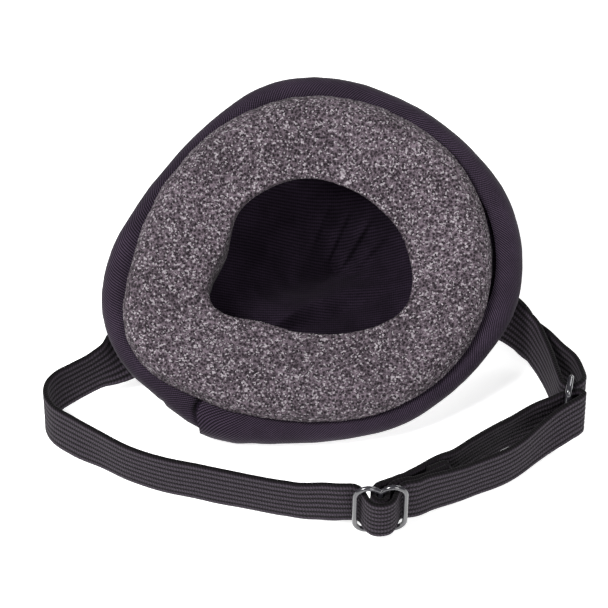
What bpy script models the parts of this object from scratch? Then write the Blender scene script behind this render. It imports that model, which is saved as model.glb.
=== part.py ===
"""Concave padded eye patch lying on its dome, with an elastic strap, a wire slider and a wire ring.

Metres, +Z up.  The patch is tipped back so that its padded opening looks up and forward (-Y).
The strap stands on its edge on the same surface (z = 0).
"""
import math

import bmesh
import bpy
from mathutils import Matrix, Vector

MM = 0.001
GAP = 0.3 * MM

# The plane of the rim: its lowest point, how far it is tipped back, and its centre above that point.
RIM_FOOT = Vector((-2.0, -16.0, 2.0)) * MM
RIM_TILT = math.radians(36.0)
RIM_CENTRE_V = 36.0 * MM
APEX_SHIFT = Vector((6.0, 2.0)) * MM
DOME_DEPTH = 28.5 * MM
DOME_ROUNDING = 1.35
DOME_FLARE = 2.3

# Outlines in the rim plane: radii from its centre at equal angles, from the right, anticlockwise.
RIM_RADII = (
    41.3, 40.3, 38.2, 36.5, 35.4, 34.9, 34.5, 33.5, 31.7, 30.9, 31.3, 33.3,
    36.6, 39.5, 40.2, 39.0, 38.7, 37.5, 36.3, 36.6, 37.7, 38.4, 39.6, 41.3,
)
FOAM_RADII = (35.3, 34.0, 31.5, 30.0, 28.9, 29.1, 32.0, 37.7, 34.3, 33.0, 34.7, 36.1)
OPENING_RADII = (19.2, 15.9, 14.1, 13.7, 13.5, 14.3, 14.9, 20.1, 16.2, 16.0, 18.1, 21.8)

# The layers of the wall, as offsets from its middle surface towards the wearer.
COVER_LAYER = (-1.3 * MM, -0.7 * MM)
CORE_LAYER = (-0.4 * MM, 0.4 * MM)
LINING_LAYER = (0.7 * MM, 1.1 * MM)
ADHESIVE_LAYER = (1.4 * MM, 2.0 * MM)
FOAM_BASE = 2.3 * MM
EDGE_INSET = 1.5 * MM
BINDING_THICKNESS = 0.6 * MM
BINDING_WIDTH = 5.0 * MM
BINDING_CHANNEL = (-1.6 * MM, 1.4 * MM)

# The foam's face, above the rim plane at its outer shoulder and at the edge of the opening.
FOAM_SHOULDER_HEIGHT = 7.0 * MM
FOAM_LIP_HEIGHT = 4.2 * MM
FOAM_SHOULDER_WIDTH = 3.2 * MM
FOAM_UNDERCUT = 4.0 * MM

AROUND = 48
DOME_RINGS = (1.0, 0.9, 0.78, 0.64, 0.5, 0.36, 0.23, 0.11)

# Elastic.
STRAP_WIDTH = 10.0 * MM
STRAP_THICKNESS = 1.0 * MM
WIRE_RADIUS = 0.5 * MM
RING_WIRE_RADIUS = 0.6 * MM
BARTACK = (1.6 * MM, 8.0 * MM, 0.4 * MM)
BREAK_LEFT = -42.0 * MM
BREAK_RIGHT = 41.0 * MM

# Slider: a figure of eight in wire round a centre bar.
SLIDER_CENTRE = Vector((11.8, -38.1, 6.5)) * MM
SLIDER_HEADING = math.radians(3.5)
SLIDER_LEAN = math.radians(6.0)
SLIDER_LENGTH = 10.2 * MM
SLIDER_HEIGHT = 12.8 * MM
SLIDER_NOTCH = 1.1 * MM

# The slider's lobes gather the elastic by SQUEEZE at the centre bar, and let it go between two
# distances from it.
SQUEEZE = 1.8 * MM
SQUEEZE_FROM = 1.4 * MM
SQUEEZE_TO = 5.0 * MM

# Ring: a rounded rectangle of the same wire, standing on edge.
RING_CENTRE = Vector((47.6, -11.6, 6.6)) * MM
RING_HEADING = math.radians(11.0)
RING_LENGTH = 6.0 * MM
RING_HEIGHT = 13.0 * MM
RING_CORNER = 1.2 * MM

# The strap's runs: points on the middle of the ribbon in millimetres, and its roll from upright in degrees.
LEFT_END = (
    (-29.0, 5.6, 11.2, 60), (-33.0, 3.2, 9.6, 58), (-36.2, 1.3, 8.1, 44), (-38.6, -0.5, 7.5, 15),
    (-40.5, -1.6, 7.2, 2), (-42.0, -2.3, 6.8, -3),
)
SIDE_RUN = (
    (-42.0, -2.3, 6.8, -3), (-45.2, -3.8, 5.9, -3), (-48.4, -5.9, 5.3, 0), (-50.2, -8.4, 5.0, 0),
    (-50.4, -11.4, 5.0, 0), (-48.9, -14.6, 5.0, 0), (-45.0, -17.9, 5.0, 0), (-40.0, -21.2, 5.03, 4),
    (-34.0, -25.2, 5.03, 7), (-27.5, -28.1, 5.03, 7), (-21.0, -29.9, 5.03, 7), (-13.0, -32.2, 5.03, 7),
    (-7.0, -33.8, 5.03, 7),
)
FEED_LEFT = (
    (-7.0, -33.8, 5.03, 7), (-5.4, -34.2, 5.1, 7), (-2.5, -34.9, 5.2, 7), (0.2, -35.5, 5.7, 6),
    (3.2, -36.1, 6.2, 6),
)
FEED_RIGHT = (
    (19.4, -34.7, 6.3, 6), (21.6, -33.4, 6.0, 6), (24.6, -31.7, 5.5, 7), (27.0, -30.3, 5.08, 7),
    (30.0, -28.7, 5.03, 7), (33.5, -26.9, 5.03, 6), (36.0, -25.3, 5.03, 5), (38.2, -23.4, 5.05, 4),
)
FRONT_RUN = (
    (38.2, -23.4, 5.05, 4), (41.5, -20.1, 5.3, 2), (44.9, -17.2, 5.9, 0), (47.6, -15.4, 6.5, 0),
    (49.6, -13.9, 6.6, 0), (50.3, -12.8, 6.6, 0), (49.6, -12.0, 6.6, 0), (48.3, -12.1, 6.6, 0),
    (46.4, -12.7, 6.6, 0), (44.2, -13.7, 6.2, -1),
)
RETURN_RUN = (
    (44.2, -13.7, 6.2, -1), (40.0, -14.9, 5.45, -8), (36.2, -16.8, 5.05, -13), (32.4, -19.6, 5.05, -12),
    (28.5, -22.9, 5.1, -10), (24.7, -26.4, 5.1, -8), (22.3, -28.35, 5.12, -7),
)
TAB_INNER_END = (
    (24.5, 10.7, 13.0, -58), (28.0, 9.8, 13.1, -56), (31.5, 9.0, 12.8, -50), (34.4, 8.6, 12.1, -34),
    (37.1, 7.7, 10.9, -14), (41.0, 4.8, 9.1, -7),
)
TAB_OUTER_END = (
    (24.6, 11.6, 11.5, -57), (28.1, 10.9, 11.6, -53), (31.4, 10.5, 11.3, -44), (34.4, 10.6, 10.5, -27),
    (38.2, 9.6, 8.9, -10), (41.0, 7.1, 7.0, -7),
)
TAB_LOOP = (
    (41.0, 4.8, 9.1, -7), (42.8, 2.0, 8.0, -4), (44.2, -1.4, 7.3, -2), (45.2, -5.0, 6.9, 0),
    (45.8, -8.0, 6.8, 0), (46.3, -9.7, 6.6, 0), (47.2, -10.7, 6.6, 0), (48.4, -10.8, 6.6, 0),
    (49.6, -10.1, 6.6, 0), (50.5, -8.4, 6.3, 0), (50.4, -5.8, 6.0, 0), (49.3, -2.1, 6.0, 0),
    (46.6, 1.1, 6.2, 2), (44.0, 4.1, 6.6, 5), (41.0, 7.1, 7.0, 7),
)

# The strap in the slider, on its own axes: along the strap, forward of the centre bar, and up the bar.
SLIDER_PASS = (
    (-7.2, -2.2, -0.3), (-5.6, -1.95, -0.1), (-4.5, -1.75, 0.0), (-3.5, -1.1, 0.0), (-2.9, 0.1, 0.0),
    (-2.4, 1.3, 0.0), (-1.5, 2.3, 0.0), (0.0, 2.65, 0.0), (1.5, 2.3, 0.0), (2.4, 1.3, 0.0),
    (2.9, 0.1, 0.0), (3.5, -1.1, 0.0), (4.5, -1.75, 0.0), (5.6, -2.0, -0.1), (6.6, -2.3, -0.3),
)
END_LOOP = (
    (10.0, -8.7, -2.2), (8.0, -7.3, -2.0), (6.0, -6.0, -1.8), (4.2, -4.8, -1.5), (2.4, -3.9, -1.0),
    (0.5, -3.0, -0.5), (-0.8, -2.1, -0.1), (-1.35, -1.0, 0.0), (-1.3, 0.3, 0.0), (-0.7, 1.15, 0.0),
    (0.0, 1.35, 0.0), (0.7, 1.15, 0.0), (1.3, 0.3, 0.0), (1.35, -0.9, 0.0), (2.2, -2.2, -0.2),
    (4.0, -3.15, -0.8), (6.0, -3.75, -1.3), (8.0, -4.6, -1.6), (10.2, -5.6, -1.8), (12.0, -6.5, -1.9),
    (12.9, -7.2, -1.9), (12.6, -7.85, -1.9), (11.6, -7.65, -1.9), (10.2, -7.0, -1.9),
    (8.8, -6.35, -1.8),
)


def clear_scene():
    for old in list(bpy.data.objects):
        bpy.data.objects.remove(old, do_unlink=True)


def material(name, colour, roughness, metallic=0.0):
    made = bpy.data.materials.new(name)
    made.use_nodes = True
    shader = made.node_tree.nodes["Principled BSDF"]
    shader.inputs["Base Color"].default_value = (*colour, 1.0)
    shader.inputs["Roughness"].default_value = roughness
    shader.inputs["Metallic"].default_value = metallic
    return made


def finish_object(name, bm, finish, origin=None, smooth=True):
    """Turns a bmesh into an object with faces pointing out, with its origin where it is asked for."""
    bmesh.ops.recalc_face_normals(bm, faces=bm.faces)
    if origin is not None:
        bmesh.ops.translate(bm, verts=bm.verts, vec=-origin)
    mesh = bpy.data.meshes.new(name)
    bm.to_mesh(mesh)
    bm.free()
    mesh.materials.append(finish)
    if smooth:
        mesh.shade_smooth()
        mesh.set_sharp_from_angle(angle=math.radians(40))
    made = bpy.data.objects.new(name, mesh)
    if origin is not None:
        made.location = origin
    bpy.context.scene.collection.objects.link(made)
    return made


# The rim plane's own axes: u to the right, v up the slope, n towards the wearer.
AXIS_U = Vector((1, 0, 0))
AXIS_V = Vector((0, math.cos(RIM_TILT), math.sin(RIM_TILT)))
AXIS_N = Vector((0, -math.sin(RIM_TILT), math.cos(RIM_TILT)))


def in_rim_frame(u, v, n):
    """World point from rim-plane coordinates measured from the rim's centre."""
    return RIM_FOOT + AXIS_U * u + AXIS_V * (v + RIM_CENTRE_V) + AXIS_N * n


def closed_radius(radii, angle):
    """Smooth closed curve through equally spaced radii in millimetres, in metres."""
    count = len(radii)
    place = (angle / math.tau * count) % count
    first = int(place)
    t = place - first
    a, b, c, d = (radii[(first + k) % count] for k in (-1, 0, 1, 2))
    value = b + 0.5 * t * (c - a + t * (2 * a - 5 * b + 4 * c - d + t * (3 * (b - c) + d - a)))
    return value * MM


def wall_middle(angle, rho):
    """Middle surface of the wall: rho is 1 at the shell's edge and 0 at the dome's tip."""
    radius = (closed_radius(RIM_RADII, angle) - EDGE_INSET) * rho
    depth = DOME_DEPTH * (1 - rho ** DOME_ROUNDING) ** DOME_FLARE if rho < 1 else 0.0
    u = radius * math.cos(angle) + APEX_SHIFT.x * (1 - rho)
    v = radius * math.sin(angle) + APEX_SHIFT.y * (1 - rho)
    return in_rim_frame(u, v, -depth)


def wall_point(angle, rho, offset):
    """Point of the wall moved off its middle surface towards the wearer."""
    step = 0.01
    low = max(rho - step, 0.02)
    high = min(low + 2 * step, 1.0)
    inward = wall_middle(angle, low) - wall_middle(angle, high)
    around = wall_middle(angle + step, max(rho, 0.05)) - wall_middle(angle - step, max(rho, 0.05))
    normal = around.cross(inward).normalized()
    if normal.dot(AXIS_N) < 0:
        normal.negate()
    if rho < 0.02:
        normal = AXIS_N
    return wall_middle(angle, rho) + normal * offset


def rho_at(angle, inset):
    """rho of the wall point that lies this far inside the rim, measured in the rim plane."""
    edge = closed_radius(RIM_RADII, angle) - EDGE_INSET
    return 1 - (inset - EDGE_INSET) / edge


def angles():
    return [math.tau * k / AROUND for k in range(AROUND)]


def dome_shell(name, layer, finish, edge_rho=1.0):
    """Closed domed sheet between two offsets of the wall."""
    bm = bmesh.new()
    skins = []
    for offset in layer:
        rings = []
        for rho in DOME_RINGS:
            rings.append([bm.verts.new(wall_point(a, rho * edge_rho, offset)) for a in angles()])
        tip = bm.verts.new(wall_point(0.0, 0.0, offset))
        skins.append((rings, tip))
        for outer, inner in zip(rings, rings[1:]):
            for k in range(AROUND):
                after = (k + 1) % AROUND
                bm.faces.new((outer[k], outer[after], inner[after], inner[k]))
        for k in range(AROUND):
            bm.faces.new((rings[-1][k], rings[-1][(k + 1) % AROUND], tip))
    low, high = skins[0][0][0], skins[1][0][0]
    for k in range(AROUND):
        after = (k + 1) % AROUND
        bm.faces.new((low[k], high[k], high[after], low[after]))
    return finish_object(name, bm, finish)


def ring_of_sections(name, section, finish):
    """Closed ring through one section for each angle around the rim."""
    bm = bmesh.new()
    loops = [[bm.verts.new(p) for p in section(a)] for a in angles()]
    size = len(loops[0])
    for k, loop in enumerate(loops):
        following = loops[(k + 1) % AROUND]
        for j in range(size):
            after = (j + 1) % size
            bm.faces.new((loop[j], loop[after], following[after], following[j]))
    return finish_object(name, bm, finish)


def binding_section(angle):
    """U-shaped tape folded over the shell's edge."""
    radius = closed_radius(RIM_RADII, angle)
    back, front = BINDING_CHANNEL
    wall = BINDING_THICKNESS
    middle = 0.5 * (back + front)
    half = 0.5 * (front - back)
    deep = rho_at(angle, BINDING_WIDTH)
    near = rho_at(angle, 2.4 * MM)
    points = [wall_point(angle, deep, front + wall), wall_point(angle, near, front + wall)]
    edge = wall_middle(angle, 1.0)
    out = (in_rim_frame(radius * math.cos(angle), radius * math.sin(angle), 0) - edge).normalized()
    reach = EDGE_INSET
    for turn in (50, 0, -50):
        swing = math.radians(turn)
        outer = out * (reach * math.cos(swing)) + AXIS_N * (middle + (half + wall) * math.sin(swing))
        points.append(edge + outer)
    points += [wall_point(angle, near, back - wall), wall_point(angle, deep, back - wall)]
    points += [wall_point(angle, deep, back), wall_point(angle, near, back)]
    for turn in (-50, 0, 50):
        swing = math.radians(turn)
        inner = out * ((reach - wall) * math.cos(swing)) + AXIS_N * (middle + half * math.sin(swing))
        points.append(edge + inner)
    points += [wall_point(angle, near, front), wall_point(angle, deep, front)]
    return points


def rho_of_radius(angle, radius):
    """rho of the wall point under this distance from the rim's centre."""
    return rho_at(angle, closed_radius(RIM_RADII, angle) - radius)


def foam_base_radii(angle):
    """Distances from the rim's centre where the foam's glued side is sampled, from the opening outwards."""
    inner = closed_radius(OPENING_RADII, angle) + FOAM_UNDERCUT
    outer = closed_radius(RIM_RADII, angle) - BINDING_WIDTH - 0.9 * MM
    return [inner + (outer - inner) * k / 4 for k in range(5)]


def foam_section(angle):
    """Foam ring: rounded outer shoulder, slightly dished face, undercut lip round the opening."""
    outer = closed_radius(FOAM_RADII, angle)
    inner = closed_radius(OPENING_RADII, angle)
    middle = 0.5 * (outer + inner)
    top = FOAM_SHOULDER_HEIGHT
    lip = FOAM_LIP_HEIGHT

    def at(radius, height):
        return in_rim_frame(radius * math.cos(angle), radius * math.sin(angle), height)

    def base(radius):
        return wall_point(angle, rho_of_radius(angle, radius), FOAM_BASE)

    shoulder = FOAM_SHOULDER_WIDTH
    points = [at(outer, 0.50 * top), at(outer - 0.3 * shoulder, 0.80 * top), at(outer - shoulder, top)]
    points += [at(middle, 0.5 * (top + lip) + 0.4 * MM), at(inner + 0.6 * MM, lip), at(inner, lip - 0.6 * MM)]
    points += [base(radius) for radius in foam_base_radii(angle)]
    points.append(base(outer))
    return points


def adhesive_section(angle):
    """Band of double-sided tape between lining and foam."""
    low, high = ADHESIVE_LAYER
    steps = [rho_of_radius(angle, radius) for radius in foam_base_radii(angle)]
    points = [wall_point(angle, rho, low) for rho in steps]
    points += [wall_point(angle, rho, high) for rho in reversed(steps)]
    return points


def stitch_section(angle):
    """Thread line sewn along the back of the binding."""
    rho = rho_at(angle, BINDING_WIDTH - 1.2 * MM)
    surface = BINDING_CHANNEL[0] - BINDING_THICKNESS
    wide = 0.006
    return [
        wall_point(angle, rho + wide, surface - 0.2 * MM), wall_point(angle, rho, surface - 0.5 * MM),
        wall_point(angle, rho - wide, surface - 0.2 * MM),
    ]


def smooth_route(points, spacing):
    """Points of a centripetal Catmull-Rom curve through the given ones, about this far apart."""
    vectors = [Vector(p) for p in points]
    before = vectors[0] * 2 - vectors[1]
    after = vectors[-1] * 2 - vectors[-2]
    chain = [before, *vectors, after]
    route = []
    for k in range(1, len(chain) - 2):
        p0, p1, p2, p3 = chain[k - 1:k + 3]
        t1 = math.sqrt((p1.xyz - p0.xyz).length) or 1e-6
        t2 = t1 + math.sqrt((p2.xyz - p1.xyz).length)
        t3 = t2 + (math.sqrt((p3.xyz - p2.xyz).length) or 1e-6)
        count = max(1, round((p2.xyz - p1.xyz).length / spacing))
        for j in range(count):
            t = t1 + (t2 - t1) * j / count
            a1 = p0 * ((t1 - t) / t1) + p1 * (t / t1)
            a2 = p1 * ((t2 - t) / (t2 - t1)) + p2 * ((t - t1) / (t2 - t1))
            a3 = p2 * ((t3 - t) / (t3 - t2)) + p3 * ((t - t2) / (t3 - t2))
            b1 = a1 * ((t2 - t) / t2) + a2 * (t / t2)
            b2 = a2 * ((t3 - t) / (t3 - t1)) + a3 * ((t - t1) / (t3 - t1))
            route.append(b1 * ((t2 - t) / (t2 - t1)) + b2 * ((t - t1) / (t2 - t1)))
    route.append(vectors[-1])
    return route


def swept_strip(name, sections, finish):
    """Closed strip through a list of four-cornered sections."""
    bm = bmesh.new()
    loops = [[bm.verts.new(p) for p in corners] for corners in sections]
    for loop, following in zip(loops, loops[1:]):
        for j in range(4):
            bm.faces.new((loop[j], loop[(j + 1) % 4], following[(j + 1) % 4], following[j]))
    bm.faces.new(loops[0])
    bm.faces.new(list(reversed(loops[-1])))
    return finish_object(name, bm, finish)


def reaches_past(corners, centre, plane):
    """Whether a section crosses a cutting plane of constant x, and would double back over the cut."""
    if plane is None or abs(centre.x - plane) > STRAP_WIDTH / 2:
        return False
    side = 1 if abs(plane) < abs(centre.x) else -1
    return any(side * (abs(p.x) - abs(plane)) < 0.2 * MM for p in corners)


def ribbon(name, points, finish, cuts=(None, None), spacing=1.8, trims=(0.0, 0.0), width=STRAP_WIDTH):
    """Flat elastic along a route given in millimetres; a cut end lies in a plane of constant x.

    trims shortens an end that isn't cut, so that it stops short of the next run.
    """
    route = smooth_route(points, spacing)
    sections = []
    last = len(route) - 1
    for k, station in enumerate(route):
        centre = station.xyz * MM
        along = (route[min(k + 1, last)].xyz - route[max(k - 1, 0)].xyz).normalized()
        if k == 0:
            centre = centre + along * trims[0]
        if k == last:
            centre = centre - along * trims[1]
        upright = (Vector((0, 0, 1)) - along * along.z).normalized()
        roll = math.radians(station.w)
        across = upright * math.cos(roll) + along.cross(upright) * math.sin(roll)
        through = along.cross(across)
        half_width = across * (width / 2)
        half_thick = through * (STRAP_THICKNESS / 2)
        corners = [centre + half_width + half_thick, centre - half_width + half_thick]
        corners += [centre - half_width - half_thick, centre + half_width - half_thick]
        plane = cuts[0] if k == 0 else cuts[1] if k == last else None
        if plane is not None:
            corners = [p + along * ((plane - p.x) / along.x) for p in corners]
        elif any(reaches_past(corners, centre, cut) for cut in cuts):
            continue
        sections.append(corners)
    return swept_strip(name, sections, finish)


def slider_axes():
    """Along the strap, forward, and up the centre bar of the leaning slider."""
    along = Vector((math.cos(SLIDER_HEADING), math.sin(SLIDER_HEADING), 0))
    forward = Vector((along.y, -along.x, 0))
    up = Vector((0, 0, 1)) * math.cos(SLIDER_LEAN) + forward * math.sin(SLIDER_LEAN)
    out = along.cross(up).normalized()
    return along, out, up


def slider_route(points):
    """Route through the slider as ribbon points: position and roll, in millimetres and degrees."""
    along, out, up = slider_axes()
    roll = -math.degrees(SLIDER_LEAN)
    centre = SLIDER_CENTRE / MM
    return [(*(centre + along * s + out * f + up * lift), roll) for s, f, lift in points]


def squeezed_width(distance):
    """Width of the elastic this far from the centre bar: the slider's lobes gather it."""
    t = min(max((distance - SQUEEZE_FROM) / (SQUEEZE_TO - SQUEEZE_FROM), 0.0), 1.0)
    return STRAP_WIDTH - SQUEEZE * (1 - t)


def upright_ribbon(name, pairs, finish, spacing=0.9):
    """Ribbon whose width runs along the slider's centre bar, so it threads the slider squarely."""
    route = smooth_route(slider_route(pairs), spacing)
    up = slider_axes()[2]
    sections = []
    last = len(route) - 1
    for k, station in enumerate(route):
        along = (route[min(k + 1, last)].xyz - route[max(k - 1, 0)].xyz).normalized()
        through = along.cross(up).normalized() * (STRAP_THICKNESS / 2)
        centre = station.xyz * MM
        rise = up * (squeezed_width((centre - SLIDER_CENTRE).length) / 2)
        sections.append([centre + rise + through, centre - rise + through])
        sections[-1] += [centre - rise - through, centre + rise - through]
    return swept_strip(name, sections, finish)


def block(name, centre, axes, sizes, finish):
    """Small box on three axes, for a dense block of stitches."""
    bm = bmesh.new()
    bmesh.ops.create_cube(bm, size=1.0)
    frame = Matrix([axis * size for axis, size in zip(axes, sizes)]).transposed()
    for vert in bm.verts:
        vert.co = centre + frame @ vert.co
    return finish_object(name, bm, finish, smooth=False)


def arc(centre, radius, start, stop, steps):
    """Points (x, y) on an arc, angles in degrees."""
    turns = [math.radians(start + (stop - start) * k / steps) for k in range(steps + 1)]
    return [(centre[0] + radius * math.cos(t), centre[1] + radius * math.sin(t)) for t in turns]


def slider_outline():
    """Middle line of the slider's outer wire: two lobes that dip towards the centre bar, top and bottom."""
    half = SLIDER_LENGTH / 2 - WIRE_RADIUS
    radius = half / 2
    high = SLIDER_HEIGHT / 2 - WIRE_RADIUS
    lobe = arc((half - radius, high - radius), radius, 0, 145, 6)
    right_top = [*lobe, (0.0, high - SLIDER_NOTCH)]
    left_top = [(-x, y) for x, y in reversed(lobe)]
    top = right_top + left_top
    return top + [(-x, -y) for x, y in top]


def ring_outline():
    """Middle line of the ring's wire: a rounded rectangle."""
    half = RING_LENGTH / 2 - RING_WIRE_RADIUS - RING_CORNER
    high = RING_HEIGHT / 2 - RING_WIRE_RADIUS - RING_CORNER
    points = []
    for start, x, y in ((0, half, high), (90, -half, high), (180, -half, -high), (270, half, -high)):
        points += arc((x, y), RING_CORNER, start, start + 90, 4)
    return points


def add_wire(bm, points, radius, side, closed=True):
    """Round wire of eight sides along points that lie in a plane with normal side."""
    loops = []
    count = len(points)
    for k, point in enumerate(points):
        ahead = points[(k + 1) % count] if closed or k < count - 1 else point
        behind = points[k - 1] if closed or k > 0 else point
        along = (ahead - behind).normalized()
        across = side.cross(along)
        turns = [math.tau * j / 8 for j in range(8)]
        spokes = [across * math.cos(t) + side * math.sin(t) for t in turns]
        loops.append([bm.verts.new(point + spoke * radius) for spoke in spokes])
    pairs = zip(loops, loops[1:] + loops[:1]) if closed else zip(loops, loops[1:])
    for loop, following in pairs:
        for j in range(8):
            bm.faces.new((loop[j], loop[(j + 1) % 8], following[(j + 1) % 8], following[j]))
    if not closed:
        bm.faces.new(loops[0])
        bm.faces.new(list(reversed(loops[-1])))


def slider(finish):
    """Figure-of-eight wire slider; its origin is on the centre bar."""
    along, out, up = slider_axes()
    frame_bm = bmesh.new()
    add_wire(frame_bm, [SLIDER_CENTRE + along * x + up * y for x, y in slider_outline()], WIRE_RADIUS, out)
    frame_object = finish_object("slider", frame_bm, finish, origin=SLIDER_CENTRE)
    bar_bm = bmesh.new()
    reach = SLIDER_HEIGHT / 2 - WIRE_RADIUS - SLIDER_NOTCH
    ends = [SLIDER_CENTRE - up * reach, SLIDER_CENTRE + up * reach]
    add_wire(bar_bm, ends, 0.96 * WIRE_RADIUS, out, closed=False)
    bar = finish_object("slider_bar_joiner", bar_bm, finish, origin=SLIDER_CENTRE)
    bar.hide_render = True
    bar.display_type = "WIRE"
    union = frame_object.modifiers.new("centre_bar", "BOOLEAN")
    union.operation = "UNION"
    union.solver = "EXACT"
    union.object = bar


def ring(finish):
    """Wire ring that joins the sewn tab to the strap; its origin is on its upright axis."""
    along = Vector((math.sin(RING_HEADING), math.cos(RING_HEADING), 0))
    up = Vector((0, 0, 1))
    bm = bmesh.new()
    path = [RING_CENTRE + along * x + up * y for x, y in ring_outline()]
    add_wire(bm, path, RING_WIRE_RADIUS, along.cross(up))
    finish_object("ring", bm, finish, origin=RING_CENTRE)


def bartack(name, points, share, side, finish):
    """Block of zigzag stitches across a ribbon, part of the way along its route."""
    route = smooth_route(points, 1.0)
    place = share * (len(route) - 1)
    k = min(int(place), len(route) - 2)
    here = route[k].lerp(route[k + 1], place - k)
    along = (route[k + 1].xyz - route[k].xyz).normalized()
    upright = (Vector((0, 0, 1)) - along * along.z).normalized()
    roll = math.radians(here.w)
    across = upright * math.cos(roll) + along.cross(upright) * math.sin(roll)
    through = along.cross(across)
    lift = side * (STRAP_THICKNESS / 2 + GAP + BARTACK[2] / 2)
    block(name, here.xyz * MM + through * lift, (along, across, through), BARTACK, finish)


def build_patch(fabric, lining, core, tape, foam, adhesive, thread, elastic):
    dome_shell("outer_cover", COVER_LAYER, fabric)
    dome_shell("stiffening_core", CORE_LAYER, core)
    dome_shell("inner_lining", LINING_LAYER, lining)
    ring_of_sections("edge_binding", binding_section, tape)
    ring_of_sections("foam_ring", foam_section, foam)
    ring_of_sections("foam_adhesive", adhesive_section, adhesive)
    ring_of_sections("binding_stitching", stitch_section, thread)
    ribbon("strap_left_end", LEFT_END, elastic, cuts=(None, BREAK_LEFT))
    ribbon("tab_inner_end", TAB_INNER_END, elastic, cuts=(None, BREAK_RIGHT))
    ribbon("tab_outer_end", TAB_OUTER_END, elastic, cuts=(None, BREAK_RIGHT))
    bartack("left_bartack", LEFT_END, 0.25, 1, thread)
    bartack("tab_bartack", TAB_OUTER_END, 0.25, -1, thread)


def build_strap(elastic, thread):
    ribbon("strap_side_run", SIDE_RUN, elastic, cuts=(BREAK_LEFT - GAP, None), trims=(0.0, GAP))
    ribbon("strap_feed_left", FEED_LEFT, elastic)
    ribbon("strap_feed_right", FEED_RIGHT, elastic)
    ribbon("strap_front_run", FRONT_RUN, elastic, trims=(GAP, 0.0), spacing=1.3)
    ribbon("strap_return_run", RETURN_RUN, elastic, trims=(GAP, 0.0))
    ribbon("tab_loop", TAB_LOOP, elastic, cuts=(BREAK_RIGHT + GAP, BREAK_RIGHT + GAP), spacing=1.3)
    upright_ribbon("strap_in_slider", SLIDER_PASS, elastic)
    upright_ribbon("strap_end_loop", END_LOOP, elastic)
    bartack("strap_end_bartack", slider_route(END_LOOP), 0.03, 1, thread)


def main():
    clear_scene()
    fabric = material("black_twill", (0.020, 0.017, 0.022), 0.85)
    tape = material("binding_tape", (0.028, 0.024, 0.030), 0.8)
    lining = material("black_knit", (0.012, 0.008, 0.016), 0.9)
    core = material("buckram", (0.55, 0.53, 0.48), 0.8)
    foam = material("charcoal_foam", (0.10, 0.09, 0.10), 0.95)
    adhesive = material("adhesive_film", (0.6, 0.58, 0.5), 0.5)
    thread = material("black_thread", (0.02, 0.02, 0.022), 0.6)
    elastic = material("black_elastic", (0.045, 0.040, 0.048), 0.75)
    build_patch(fabric, lining, core, tape, foam, adhesive, thread, elastic)
    build_strap(elastic, thread)
    wire = material("coated_wire", (0.03, 0.03, 0.035), 0.25, 0.6)
    slider(wire)
    ring(wire)


main()
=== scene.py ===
"""Looks of a concave padded eye patch: cloth, foam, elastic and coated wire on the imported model.

Metres, +Z up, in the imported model's frame.  The plane of the patch's rim has its own axes:
u to the right, v up its slope, n towards the wearer.
"""
import itertools
import math

import bmesh
import bpy
import numpy as np
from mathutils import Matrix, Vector


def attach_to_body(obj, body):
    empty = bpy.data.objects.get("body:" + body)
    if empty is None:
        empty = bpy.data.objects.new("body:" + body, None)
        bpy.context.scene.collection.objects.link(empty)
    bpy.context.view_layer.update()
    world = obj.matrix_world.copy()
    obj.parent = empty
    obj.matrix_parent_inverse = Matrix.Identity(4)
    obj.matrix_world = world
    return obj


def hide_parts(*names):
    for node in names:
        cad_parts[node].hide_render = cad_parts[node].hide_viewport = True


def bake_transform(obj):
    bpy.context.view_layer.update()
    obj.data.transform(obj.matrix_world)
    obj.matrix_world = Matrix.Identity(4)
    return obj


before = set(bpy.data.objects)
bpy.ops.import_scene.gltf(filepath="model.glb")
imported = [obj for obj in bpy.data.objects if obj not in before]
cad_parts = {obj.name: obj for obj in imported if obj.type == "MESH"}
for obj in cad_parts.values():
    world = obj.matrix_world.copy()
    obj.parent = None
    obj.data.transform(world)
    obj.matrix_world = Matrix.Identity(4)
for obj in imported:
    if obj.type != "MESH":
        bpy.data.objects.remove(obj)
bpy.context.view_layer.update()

MM = 0.001
TAU = math.tau

# ---------------------------------------------------------------------------
# The patch's design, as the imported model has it.

RIM_TILT = math.radians(36.0)
RIM_CENTRE = np.array([-2.0, -16.0 + 36.0 * math.cos(RIM_TILT), 2.0 + 36.0 * math.sin(RIM_TILT)]) * MM
AXIS_U = np.array([1.0, 0.0, 0.0])
AXIS_V = np.array([0.0, math.cos(RIM_TILT), math.sin(RIM_TILT)])
AXIS_N = np.array([0.0, -math.sin(RIM_TILT), math.cos(RIM_TILT)])
APEX_SHIFT = (6.0 * MM, 2.0 * MM)
DOME_DEPTH = 28.5 * MM
DOME_ROUNDING = 1.35
DOME_FLARE = 2.3
EDGE_INSET = 1.5 * MM

# Radii from the rim's centre at equal angles, from the right, anticlockwise, in millimetres.
RIM_RADII = (
    41.3, 40.3, 38.2, 36.5, 35.4, 34.9, 34.5, 33.5, 31.7, 30.9, 31.3, 33.3,
    36.6, 39.5, 40.2, 39.0, 38.7, 37.5, 36.3, 36.6, 37.7, 38.4, 39.6, 41.3,
)
FOAM_RADII = (35.3, 34.0, 31.5, 30.0, 28.9, 29.1, 32.0, 37.7, 34.3, 33.0, 34.7, 36.1)
OPENING_RADII = (19.2, 15.9, 14.1, 13.7, 13.5, 14.3, 14.9, 20.1, 16.2, 16.0, 18.1, 21.8)

FOAM_SHOULDER_HEIGHT = 7.0 * MM
FOAM_LIP_HEIGHT = 4.2 * MM
FOAM_SHOULDER_WIDTH = 3.2 * MM
FOAM_UNDERCUT = 4.0 * MM
FOAM_BASE = 2.3 * MM

STRAP_WIDTH = 10.0 * MM
STRAP_THICKNESS = 1.0 * MM
WIRE_RADIUS = 0.5 * MM
RING_WIRE_RADIUS = 0.6 * MM

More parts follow.
